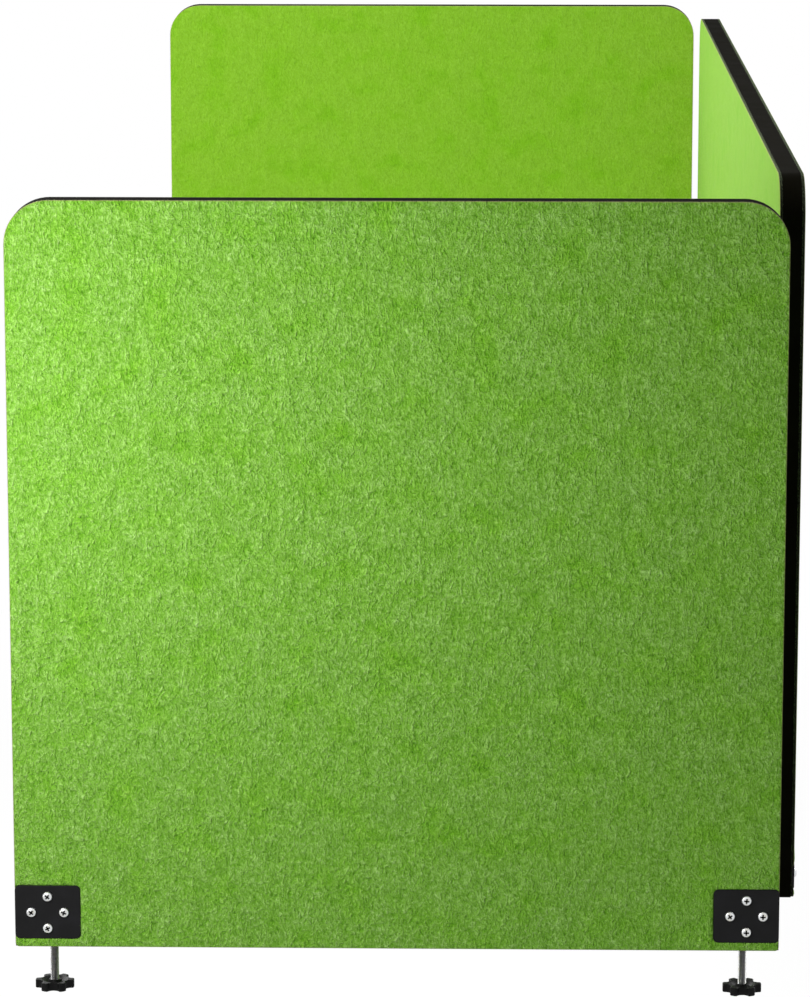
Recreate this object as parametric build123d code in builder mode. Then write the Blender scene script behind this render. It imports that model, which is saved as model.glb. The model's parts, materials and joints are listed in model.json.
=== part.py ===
from build123d import *
import os
from dataclasses import dataclass

# Desk set of three clamp-on acoustic screens, in millimetres.
# +Z up, +Y towards the back screen, a side screen on each side in X.
# Origin: on the plane that the knobs reach down to, in the middle of the set.

# The desk that the set is clamped to, open at its rear corners
desktop_thickness = 25.0
open_corner_width = 150.0

# Screens
side_screen_length = 700.0
side_screen_height = 690.0
back_screen_length = 1700.0
back_screen_height = 690.0
board_thickness = 18.0
felt_thickness = 3.0
top_corner_radius = 40.0
bottom_corner_radius = 3.5
edge_band_thickness = 2.0
edge_band_seam = 0.3
bedding_depth = 2.0

# Outer plates: four screws on a side screen, two on the back screen
plate_width = 60.0
plate_height = 50.0
strap_plate_height = 25.0
plate_thickness = 2.3
plate_corner_radius = 4.5
plate_bottom_gap = 8.0
plate_edge_radius = 0.5

# Screws
screw_circle_diameter = 30.0
screw_diameter = 5.0
screw_head_diameter = 9.5
screw_head_height = 3.0
screw_head_radius = 2.2
screw_end_gap = 0.5

# C-shaped brackets, bent from sheet steel
sheet_thickness = 3.0
bend_inner_radius = 3.0
bracket_width = 50.0
upper_arm_reach = 52.0
lower_arm_reach = 50.0
upper_arm_corner_radius = 8.0
lower_arm_corner_radius = 18.0
jaw_liner_thickness = 2.0
jaw_liner_length = 40.0
jaw_liner_width = 42.0
jaw_liner_corner_radius = 5.0

# Weld nuts
nut_across_flats = 13.0
nut_height = 6.5
nut_collar_diameter = 10.6
nut_collar_height = 1.5

# Spindles, their swivel discs and pads
spindle_diameter = 8.0
spindle_axis_reach = 32.0
spindle_tip_chamfer = 0.8
rivet_neck_diameter = 5.0
rivet_head_diameter = 8.0
rivet_head_height = 1.0
disc_diameter = 28.0
disc_thickness = 5.0
disc_flange_thickness = 2.4
disc_boss_diameter = 14.0
disc_rim_height = 1.2
disc_edge_radius = 0.6
pad_diameter = 25.0
pad_thickness = 3.0
pad_edge_radius = 0.5

# Star knobs
knob_diameter = 36.0
knob_height = 8.0
knob_drop = 48.0
knob_lobe_count = 6
knob_scallop_radius = 5.6
knob_scallop_centre_share = 1.03
knob_lobe_corner_radius = 1.8
knob_edge_radius = 0.9
knob_dish_diameter = 25.0
knob_dish_depth = 3.2
knob_hub_diameter = 14.0
knob_hub_top_diameter = 11.0
knob_floor_thickness = 2.4

# Clearances
fit_gap = 0.05
hole_gap = 0.25
board_hole_gap = 0.5
pocket_gap = 0.2
rivet_gap = 0.2
cut_overrun = 1.0

# Worked out from the sizes above
desk_width = back_screen_length + 2 * open_corner_width
board_hole_diameter = screw_diameter + 2 * board_hole_gap
screen_thickness = board_thickness + 2 * felt_thickness
web_stand_out = sheet_thickness - bedding_depth
plate_stand_out = plate_thickness - bedding_depth
bracket_top = plate_bottom_gap + plate_height
jaw_top = bracket_top - sheet_thickness - jaw_liner_thickness
desk_underside = jaw_top - desktop_thickness
disc_bottom = desk_underside - pad_thickness - disc_thickness
knob_bottom = -knob_drop - knob_height
screen_bottom_z = -knob_bottom
clamp_inset = plate_width / 2
back_depth = web_stand_out + screen_thickness + plate_stand_out + screw_head_height
overall_depth = side_screen_length + back_depth
desk_rear_y = side_screen_length - overall_depth / 2
side_screen_y = desk_rear_y - side_screen_length / 2


@dataclass
class Screen:
    """One screen: its size and the frame on which everything of it is placed.

    The frame's origin is at the middle of the bottom edge of the inner face. Its x points
    inwards, over the desk, its y along the screen and its z up.
    """

    name: str
    length: float
    height: float
    frame: Plane
    clamps: dict
    strap_plates: bool = False

    @property
    def plate_height(self):
        return strap_plate_height if self.strap_plates else plate_height

    @property
    def plate_middle(self):
        return plate_bottom_gap + self.plate_height / 2

    @property
    def screw_places(self):
        """Lateral place and height of each screw round the middle of one plate."""
        reach = screw_circle_diameter / 2
        places = [(-reach, 0), (reach, 0)]
        if not self.strap_plates:
            places += [(0, -reach), (0, reach)]
        return places

    def all_screw_places(self):
        return [
            (lateral + side, self.plate_middle + rise)
            for lateral in self.clamps.values()
            for side, rise in self.screw_places
        ]


def screen_frame(x, y, inward):
    return Plane(origin=(x, y, screen_bottom_z), x_dir=inward, z_dir=(0, 0, 1))


def face_view(frame, depth):
    """Plane parallel to the screen's faces, depth inwards of the inner face: x along, y up."""
    origin = frame.from_local_coords((depth, 0, 0))
    return Plane(origin=origin, x_dir=frame.y_dir, z_dir=frame.x_dir)


def side_view(frame):
    """Plane square to the screen through the frame's origin: x inwards, y up."""
    return Plane(origin=frame.origin, x_dir=frame.x_dir, z_dir=-frame.y_dir)


def station(frame, lateral):
    """The screen's frame, moved along the screen to a clamp."""
    origin = frame.from_local_coords((0, lateral, 0))
    return Plane(origin=origin, x_dir=frame.x_dir, z_dir=frame.z_dir)


def spindle_view(frame, height):
    """Plane square to a clamp's spindle, height above the screen's bottom edge."""
    origin = frame.from_local_coords((spindle_axis_reach, 0, height))
    return Plane(origin=origin, x_dir=frame.x_dir, z_dir=frame.z_dir)


def spindle_section(frame):
    """Plane that holds the spindle's axis: x away from the axis, y up."""
    origin = frame.from_local_coords((spindle_axis_reach, 0, 0))
    return Plane(origin=origin, x_dir=frame.x_dir, z_dir=-frame.y_dir)


def screen_outline(plane, screen, inset):
    """Sketch the outline of a screen on the plane, inset on every side."""
    with BuildSketch(plane) as outline:
        with Locations((0, inset)):
            Rectangle(
                screen.length - 2 * inset,
                screen.height - 2 * inset,
                align=(Align.CENTER, Align.MIN),
            )
        corners = outline.vertices().group_by(Axis.Y)
        fillet(corners[-1], top_corner_radius - inset)
        fillet(corners[0], bottom_corner_radius - inset)
    return outline.sketch


def screw_circles(plane, screen, diameter):
    """Sketch a circle at each of the screen's screws on the plane."""
    with BuildSketch(plane) as circles:
        with Locations(screen.all_screw_places()):
            Circle(diameter / 2)
    return circles.sketch


def make_core_board(screen):
    face = face_view(screen.frame, -felt_thickness)
    outline = screen_outline(face, screen, edge_band_thickness)
    holes = screw_circles(face, screen, board_hole_diameter)
    with BuildPart() as core_board:
        extrude(outline, amount=-board_thickness)
        extrude(holes, amount=-board_thickness, mode=Mode.SUBTRACT)
    write(core_board, f"{screen.name}_core_board")


def make_inner_felt(screen):
    """The felt on the desk's side, with a pocket that each bracket's web beds into."""
    face = face_view(screen.frame, 0)
    outline = screen_outline(face, screen, 0)
    holes = screw_circles(face, screen, board_hole_diameter)
    pocket_height = bracket_top + pocket_gap + cut_overrun
    with BuildPart() as inner_felt:
        extrude(outline, amount=-felt_thickness)
        extrude(holes, amount=-felt_thickness, mode=Mode.SUBTRACT)
        with BuildSketch(face):
            with Locations([(lateral, -cut_overrun) for lateral in screen.clamps.values()]):
                Rectangle(
                    bracket_width + 2 * pocket_gap,
                    pocket_height,
                    align=(Align.CENTER, Align.MIN),
                )
        extrude(amount=-bedding_depth, mode=Mode.SUBTRACT)
    write(inner_felt, f"{screen.name}_inner_felt")


def make_outer_felt(screen):
    """The felt on the outside, with a pocket that each plate is pressed into."""
    inside = face_view(screen.frame, -felt_thickness - board_thickness)
    outline = screen_outline(inside, screen, 0)
    holes = screw_circles(inside, screen, board_hole_diameter)
    with BuildPart() as outer_felt:
        extrude(outline, amount=-felt_thickness)
        extrude(holes, amount=-felt_thickness, mode=Mode.SUBTRACT)
        with BuildSketch(face_view(screen.frame, -screen_thickness)):
            with Locations([(lateral, screen.plate_middle) for lateral in screen.clamps.values()]):
                RectangleRounded(
                    plate_width + 2 * pocket_gap,
                    screen.plate_height + 2 * pocket_gap,
                    plate_corner_radius + pocket_gap,
                )
        extrude(amount=bedding_depth, mode=Mode.SUBTRACT)
    write(outer_felt, f"{screen.name}_outer_felt")


def make_edge_band(screen):
    """One strip round the board, between the felts, butted in the middle of the bottom edge."""
    rim = face_view(screen.frame, -felt_thickness)
    outside = screen_outline(rim, screen, 0)
    inside = screen_outline(rim, screen, edge_band_thickness)
    with BuildPart() as edge_band:
        extrude(outside, amount=-board_thickness)
        extrude(inside, amount=-board_thickness, mode=Mode.SUBTRACT)
        with BuildSketch(rim):
            Rectangle(edge_band_seam, 2 * (edge_band_thickness + cut_overrun))
        extrude(amount=-board_thickness, mode=Mode.SUBTRACT)
    write(edge_band, f"{screen.name}_edge_band")


def make_clamp_screws(screen):
    """All pan-head screws of a screen, from their plates into the brackets' webs."""
    plate_face = face_view(screen.frame, -screen_thickness - plate_stand_out)
    grip = screen_thickness + plate_stand_out + web_stand_out
    inwards = Axis(screen.frame.origin, screen.frame.x_dir)
    with BuildPart() as clamp_screws:
        extrude(screw_circles(plate_face, screen, screw_diameter), amount=grip - screw_end_gap)
        extrude(screw_circles(plate_face, screen, screw_head_diameter), amount=-screw_head_height)
        crowns = clamp_screws.edges().group_by(inwards)[0]
        fillet(crowns, screw_head_radius)
    write(clamp_screws, f"{screen.name}_clamp_screws")


def make_weld_nuts(screen):
    """A hexagon nut under each lower arm, its collar seated in the arm's hole."""
    with BuildPart() as weld_nuts:
        for lateral in screen.clamps.values():
            under_arm = spindle_view(station(screen.frame, lateral), 0)
            with BuildSketch(under_arm):
                RegularPolygon(nut_across_flats / 2, 6, major_radius=False)
            extrude(amount=-nut_height)
            with BuildSketch(under_arm):
                Circle(nut_collar_diameter / 2)
            extrude(amount=nut_collar_height)
            with BuildSketch(under_arm):
                Circle(spindle_diameter / 2 + fit_gap)
            extrude(amount=nut_height + cut_overrun, both=True, mode=Mode.SUBTRACT)
    write(weld_nuts, f"{screen.name}_weld_nuts")


def make_jaw_liners(screen):
    """A soft liner under each upper arm, where the bracket bears on the desktop."""
    middle = (web_stand_out + bend_inner_radius + upper_arm_reach) / 2
    with BuildPart() as jaw_liners:
        for lateral in screen.clamps.values():
            with BuildSketch(station(screen.frame, lateral).offset(jaw_top)):
                with Locations((middle, 0)):
                    RectangleRounded(jaw_liner_length, jaw_liner_width, jaw_liner_corner_radius)
            extrude(amount=jaw_liner_thickness)
    write(jaw_liners, f"{screen.name}_jaw_liners")


def make_clamp_plate(screen, clamp, lateral):
    seat = face_view(screen.frame, bedding_depth - screen_thickness)
    inwards = Axis(screen.frame.origin, screen.frame.x_dir)
    with BuildPart() as clamp_plate:
        with BuildSketch(seat):
            with Locations((lateral, screen.plate_middle)):
                RectangleRounded(plate_width, screen.plate_height, plate_corner_radius)
        extrude(amount=-plate_thickness)
        fillet(clamp_plate.edges().group_by(inwards)[0], plate_edge_radius)
        with BuildSketch(seat):
            with Locations((lateral, screen.plate_middle)):
                with Locations(screen.screw_places):
                    Circle(screw_diameter / 2 + hole_gap)
        extrude(amount=-plate_thickness, mode=Mode.SUBTRACT)
    write(clamp_plate, f"{clamp}_clamp_plate")


def make_clamp_bracket(screen, clamp, lateral):
    """A C of bent sheet: a web on the screen, an arm over the desktop and one under it."""
    here = station(screen.frame, lateral)
    web_back = web_stand_out - sheet_thickness
    with BuildPart() as clamp_bracket:
        with BuildSketch(side_view(here)) as outside:
            with Locations((web_back, 0)):
                Rectangle(
                    upper_arm_reach - web_back,
                    bracket_top,
                    align=(Align.MIN, Align.MIN),
                )
            bends = outside.vertices().group_by(Axis.X)[0]
            fillet(bends, bend_inner_radius + sheet_thickness)
        extrude(amount=bracket_width / 2, both=True)
        with BuildSketch(side_view(here)) as inside:
            with Locations((web_stand_out, sheet_thickness)):
                Rectangle(
                    upper_arm_reach + cut_overrun,
                    bracket_top - 2 * sheet_thickness,
                    align=(Align.MIN, Align.MIN),
                )
            bends = inside.vertices().group_by(Axis.X)[0]
            fillet(bends, bend_inner_radius)
        extrude(amount=bracket_width / 2, both=True, mode=Mode.SUBTRACT)
        with BuildSketch(here):
            with Locations((lower_arm_reach, 0)):
                Rectangle(
                    upper_arm_reach,
                    bracket_width + cut_overrun,
                    align=(Align.MIN, Align.CENTER),
                )
        extrude(amount=sheet_thickness, mode=Mode.SUBTRACT)
        corners = clamp_bracket.edges().filter_by(Axis.Z).group_by(Axis.Z)
        fillet(corners[0], lower_arm_corner_radius)
        corners = clamp_bracket.edges().filter_by(Axis.Z).group_by(Axis.Z)
        fillet(corners[-1], upper_arm_corner_radius)
        with BuildSketch(face_view(here, web_back)):
            with Locations((0, screen.plate_middle)):
                with Locations(screen.screw_places):
                    Circle(screw_diameter / 2 + fit_gap)
        extrude(amount=sheet_thickness, mode=Mode.SUBTRACT)
        with BuildSketch(spindle_view(here, 0)):
            Circle(nut_collar_diameter / 2 + pocket_gap)
        extrude(amount=sheet_thickness, mode=Mode.SUBTRACT)
    write(clamp_bracket, f"{clamp}_clamp_bracket")


def make_spindle(screen, clamp, lateral):
    """The spindle, down into its knob, with a riveted neck that holds the swivel disc."""
    here = station(screen.frame, lateral)
    foot = knob_bottom + knob_floor_thickness
    disc_top = disc_bottom + disc_thickness
    head_top = disc_top - rivet_gap
    head_bottom = head_top - rivet_head_height
    radius = spindle_diameter / 2
    with BuildPart() as spindle:
        with BuildSketch(spindle_section(here)):
            with BuildLine():
                Polyline(
                    (0, foot),
                    (radius - spindle_tip_chamfer, foot),
                    (radius, foot + spindle_tip_chamfer),
                    (radius, disc_bottom),
                    (rivet_neck_diameter / 2, disc_bottom),
                    (rivet_neck_diameter / 2, head_bottom),
                    (rivet_head_diameter / 2, head_bottom),
                    (rivet_head_diameter / 2, head_top),
                    (0, head_top),
                    close=True,
                )
            make_face()
        revolve(axis=spindle_axis(here))
    write(spindle, f"{clamp}_spindle")


def make_star_knob(screen, clamp, lateral):
    """A star knob: six square lobes, a dished top and a hub that the spindle goes into."""
    here = station(screen.frame, lateral)
    top = spindle_view(here, -knob_drop)
    with BuildPart() as star_knob:
        with BuildSketch(top) as star:
            Circle(knob_diameter / 2)
            with PolarLocations(knob_scallop_centre_share * knob_diameter / 2, knob_lobe_count):
                Circle(knob_scallop_radius, mode=Mode.SUBTRACT)
            fillet(star.vertices(), knob_lobe_corner_radius)
        extrude(amount=-knob_height)
        rims = star_knob.edges().group_by(Axis.Z)
        fillet(rims[0] + rims[-1], knob_edge_radius)
        with BuildSketch(spindle_section(here)):
            with BuildLine():
                hub_top = (knob_hub_top_diameter / 2, -knob_drop)
                hub_foot = (knob_hub_diameter / 2, -knob_drop - knob_dish_depth)
                dish_edge = (knob_dish_diameter / 2, -knob_drop)
                Polyline(dish_edge, hub_top, hub_foot)
                RadiusArc(hub_foot, dish_edge, knob_dish_diameter / 2)
            make_face()
        revolve(axis=spindle_axis(here), mode=Mode.SUBTRACT)
        with BuildSketch(top):
            Circle(spindle_diameter / 2)
        extrude(amount=knob_floor_thickness - knob_height, mode=Mode.SUBTRACT)
    write(star_knob, f"{clamp}_star_knob")


def make_swivel_disc(screen, clamp, lateral):
    """A disc with a boss below, a rim round the pad and a recess for the rivet's head."""
    here = station(screen.frame, lateral)
    disc_top = disc_bottom + disc_thickness
    flange_bottom = disc_top - disc_flange_thickness
    recess_floor = disc_top - rivet_head_height - 2 * rivet_gap
    bore = rivet_neck_diameter / 2 + fit_gap
    recess = rivet_head_diameter / 2 + rivet_gap
    rim_inside = pad_diameter / 2 + pocket_gap
    with BuildPart() as swivel_disc:
        with BuildSketch(spindle_section(here)):
            with BuildLine():
                Polyline(
                    (bore, disc_bottom),
                    (disc_boss_diameter / 2, disc_bottom),
                    (disc_boss_diameter / 2, flange_bottom),
                    (disc_diameter / 2, flange_bottom),
                    (disc_diameter / 2, disc_top + disc_rim_height),
                    (rim_inside, disc_top + disc_rim_height),
                    (rim_inside, disc_top),
                    (recess, disc_top),
                    (recess, recess_floor),
                    (bore, recess_floor),
                    close=True,
                )
            make_face()
        revolve(axis=spindle_axis(here))
        boss_foot = swivel_disc.edges().group_by(Axis.Z)[0].sort_by(SortBy.LENGTH)[-1]
        fillet(boss_foot, disc_edge_radius)
    write(swivel_disc, f"{clamp}_swivel_disc")


def make_rubber_pad(screen, clamp, lateral):
    here = station(screen.frame, lateral)
    with BuildPart() as rubber_pad:
        with BuildSketch(spindle_view(here, desk_underside - pad_thickness)):
            Circle(pad_diameter / 2)
        extrude(amount=pad_thickness)
        fillet(rubber_pad.edges().group_by(Axis.Z)[-1], pad_edge_radius)
    write(rubber_pad, f"{clamp}_rubber_pad")


def spindle_axis(frame):
    return Axis(spindle_view(frame, 0).origin, frame.z_dir)


def write(builder, node):
    builder.part.label = node
    export_step(builder.part, f"parts/{node}.step")


side_reach = side_screen_length / 2 - clamp_inset
back_reach = back_screen_length / 2 - clamp_inset
screens = [
    Screen(
        name="right",
        length=side_screen_length,
        height=side_screen_height,
        frame=screen_frame(desk_width / 2 + web_stand_out, side_screen_y, (-1, 0, 0)),
        clamps={"right_front": side_reach, "right_rear": -side_reach},
    ),
    Screen(
        name="left",
        length=side_screen_length,
        height=side_screen_height,
        frame=screen_frame(-desk_width / 2 - web_stand_out, side_screen_y, (1, 0, 0)),
        clamps={"left_front": -side_reach, "left_rear": side_reach},
    ),
    Screen(
        name="back",
        length=back_screen_length,
        height=back_screen_height,
        frame=screen_frame(0, desk_rear_y + web_stand_out, (0, -1, 0)),
        clamps={"back_right": back_reach, "back_left": -back_reach},
        strap_plates=True,
    ),
]

screen_makers = [
    make_core_board,
    make_inner_felt,
    make_outer_felt,
    make_edge_band,
    make_clamp_screws,
    make_weld_nuts,
    make_jaw_liners,
]
clamp_makers = [
    make_clamp_plate,
    make_clamp_bracket,
    make_spindle,
    make_star_knob,
    make_swivel_disc,
    make_rubber_pad,
]

os.makedirs("parts", exist_ok=True)
for screen in screens:
    for make in screen_makers:
        make(screen)
    for clamp, lateral in screen.clamps.items():
        for make in clamp_makers:
            make(screen, clamp, lateral)
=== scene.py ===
"""Clamp-on acoustic desk screens: felt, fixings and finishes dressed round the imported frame."""

import json
import logging
import math
from abc import ABC, abstractmethod
from dataclasses import dataclass
from enum import Enum
from functools import cached_property, partialmethod
from typing import Any, Iterable, Sequence

import bpy
import numpy as np
from mathutils import Matrix, Vector
from mathutils.geometry import delaunay_2d_cdt

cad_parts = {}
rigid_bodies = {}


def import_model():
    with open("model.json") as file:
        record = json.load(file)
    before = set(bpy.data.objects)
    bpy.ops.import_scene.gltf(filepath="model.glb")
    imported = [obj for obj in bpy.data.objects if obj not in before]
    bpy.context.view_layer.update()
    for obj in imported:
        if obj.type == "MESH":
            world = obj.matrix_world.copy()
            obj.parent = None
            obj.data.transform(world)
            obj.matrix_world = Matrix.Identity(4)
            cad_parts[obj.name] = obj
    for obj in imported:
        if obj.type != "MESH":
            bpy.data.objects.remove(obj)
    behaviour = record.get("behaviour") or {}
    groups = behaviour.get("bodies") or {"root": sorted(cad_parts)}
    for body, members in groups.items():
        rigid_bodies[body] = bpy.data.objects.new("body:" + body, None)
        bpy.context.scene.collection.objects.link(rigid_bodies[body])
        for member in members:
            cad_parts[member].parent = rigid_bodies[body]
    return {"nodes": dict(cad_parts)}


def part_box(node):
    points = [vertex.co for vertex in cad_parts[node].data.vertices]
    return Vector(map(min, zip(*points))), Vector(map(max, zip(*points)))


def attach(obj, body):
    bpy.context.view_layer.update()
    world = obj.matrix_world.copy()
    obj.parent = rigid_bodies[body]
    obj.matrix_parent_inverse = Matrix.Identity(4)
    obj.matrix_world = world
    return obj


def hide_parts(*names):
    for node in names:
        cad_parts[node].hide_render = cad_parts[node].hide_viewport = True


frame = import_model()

log = logging.getLogger("desk_screens")

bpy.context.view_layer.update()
MM = 0.001
TINY = 1e-9
MERGE_DISTANCE = 1e-7
UP = Vector((0.0, 0.0, 1.0))
SCREENS_BODY = "screens"
Turn = tuple[float, float, float, float, int]


def linear(hex_colour: str) -> tuple[float, float, float, float]:
    """Turn an sRGB hex value into Blender's linear colour.

    Args:
        hex_colour: Colour as rrggbb.

    Returns:
        Linear red, green, blue and an alpha of 1.
    """
    values = [int(hex_colour[i : i + 2], 16) / 255 for i in (0, 2, 4)]
    curve = [v / 12.92 if v <= 0.04045 else ((v + 0.055) / 1.055) ** 2.4 for v in values]
    return (*curve, 1.0)


@dataclass(frozen=True)
class Output:
    """One output of a node, with the arithmetic of numbers."""

    socket: bpy.types.NodeSocket

    @property
    def tree(self) -> bpy.types.NodeTree:
        """The tree of the node."""
        return self.socket.id_data

    def other(self, key: int | str) -> "Output":
        """Another output of the same node."""
        return Output(self.socket.node.outputs[key])

    def math(self, operation: str, *others: Any) -> "Output":
        """A function of this number and others."""
        inputs = dict(enumerate((self, *others)))
        return add_node(self.tree, "ShaderNodeMath", inputs, operation=operation)

    def __rsub__(self, number: float) -> "Output":
        """A plain number less this one."""
        return add_node(self.tree, "ShaderNodeMath", {0: number, 1: self}, operation="SUBTRACT")

    __add__ = partialmethod(math, "ADD")
    __sub__ = partialmethod(math, "SUBTRACT")
    __mul__ = partialmethod(math, "MULTIPLY")
    __truediv__ = partialmethod(math, "DIVIDE")
    __pow__ = partialmethod(math, "POWER")
    __gt__ = partialmethod(math, "GREATER_THAN")


def add_node(
    tree: bpy.types.NodeTree,
    kind: str,
    inputs: dict | None = None,
    out: int | str = 0,
    **settings: Any,
) -> Output | None:
    """Add a node with its settings, and fill or link its inputs.

    Args:
        tree: Tree that gets the node.
        kind: Blender's type name of the node.
        inputs: Socket name or index to a value, to the output that feeds it or to a list of them.
        out: Which output is given back.
        settings: Properties of the node.

    Returns:
        The output, or None where the node ends its tree.
    """
    node = tree.nodes.new(kind)
    for name, value in settings.items():
        setattr(node, name, value)
    for key, value in (inputs or {}).items():
        for feed in value if isinstance(value, list) else [value]:
            if isinstance(feed, Output):
                tree.links.new(feed.socket, node.inputs[key])
            else:
                node.inputs[key].default_value = feed
    return Output(node.outputs[out]) if node.outputs else None


def emptied(owner: bpy.types.Material | bpy.types.World) -> bpy.types.NodeTree:
    """The node tree of a material or world, with nothing in it."""
    owner.use_nodes = True
    owner.node_tree.nodes.clear()
    return owner.node_tree


class Slot(Enum):
    """The record's material slots of the felt and the zinc."""

    FELT = "green_felt"
    ZINC = "zinc_steel"


@dataclass(frozen=True)
class Finish(ABC):
    """A finish: the real material's name and how its nodes are drawn."""

    name: str

    @abstractmethod
    def draw(self, tree: bpy.types.NodeTree) -> dict[str, Any]:
        """Add this finish's pattern nodes.

        Args:
            tree: Tree of the material.

        Returns:
            Input names of the Principled shader, each with its value or the output that feeds it.
        """

    def material(self) -> bpy.types.Material:
        """Make the material.

        Returns:
            A node material with this finish in its Principled shader.
        """
        made = bpy.data.materials.new(self.name)
        tree = emptied(made)
        shader = add_node(tree, "ShaderNodeBsdfPrincipled", self.draw(tree))
        add_node(tree, "ShaderNodeOutputMaterial", {"Surface": shader})
        return made


def noise(place: Output, size_mm: float, detail: float = 2.0, rough: float = 0.5) -> Output:
    """Noise whose grains are about size_mm wide on a coordinate in metres.

    Args:
        place: The coordinate.
        size_mm: Width of a grain.
        detail: Octaves of finer grain.
        rough: How strong the finer grain is.

    Returns:
        The noise's value.
    """
    inputs = {"Vector": place, "Scale": 1 / (size_mm * MM), "Detail": detail, "Roughness": rough}
    return add_node(place.tree, "ShaderNodeTexNoise", inputs)


def ramp(value: Output, stops: Sequence[tuple[float, str]]) -> Output:
    """Colour a value by stops of place and sRGB hex.

    Args:
        value: The value.
        stops: Pairs of place and hex colour, from low to high.

    Returns:
        The colour.
    """
    shade = add_node(value.tree, "ShaderNodeValToRGB", {"Fac": value})
    elements = shade.socket.node.color_ramp.elements
    while len(elements) < len(stops):
        elements.new(0.5)
    for element, (place, colour) in zip(elements, stops):
        element.position = place
        element.color = linear(colour)
    return shade


def spread(
    value: Output, span: tuple[float, float] = (0.3, 0.7), low: float = 0.0, high: float = 1.0
) -> Output:
    """Map a noise's usual span to a range.

    Args:
        value: The noise.
        span: The part of the noise's values that is spread.
        low: What the span's low end becomes.
        high: What the span's high end becomes.

    Returns:
        The result, clamped.
    """
    inputs = dict(enumerate((value, *span, low, high)))
    return add_node(value.tree, "ShaderNodeMapRange", inputs, clamp=True)


def bump(height: Output, depth_mm: float, strength: float, under: Output | None = None) -> Output:
    """Turn a height from 0 to 1 into a bumped normal.

    Args:
        height: The height.
        depth_mm: Depth of the relief.
        strength: How much of it shows.
        under: Normal of a relief below this one.

    Returns:
        The normal.
    """
    inputs = {"Height": height, "Distance": depth_mm * MM, "Strength": strength}
    if under is not None:
        inputs["Normal"] = under
    return add_node(height.tree, "ShaderNodeBump", inputs)


def own_place(tree: bpy.types.NodeTree) -> Output:
    """Object coordinates, which are metres in the row frame."""
    return add_node(tree, "ShaderNodeTexCoord", out="Object")


@dataclass(frozen=True)
class Grain:
    """Unevenness of one size: the width of its grains, its depth and how much of that shows.

    Of plain noise, the part of its values in span is spread from 0 to 1. Pearls are round.
    """

    size_mm: float
    depth_mm: float = 0.0
    strength: float = 1.0
    detail: float = 1.0
    rough: float = 0.5
    span: tuple[float, float] | None = None
    pearls: bool = False

    def height(self, place: Output) -> Output:
        """The grain's height, from 0 to 1."""
        if self.pearls:
            inputs = {"Vector": place, "Scale": 1 / (self.size_mm * MM)}
            return add_node(place.tree, "ShaderNodeTexVoronoi", inputs, feature="SMOOTH_F1")
        plain = noise(place, self.size_mm, self.detail, self.rough)
        return spread(plain, self.span) if self.span else plain

    def relief(self, height: Output, under: Output | None = None) -> Output:
        """The normal of this height, over the relief under it."""
        return bump(height, self.depth_mm, self.strength, under)


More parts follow.
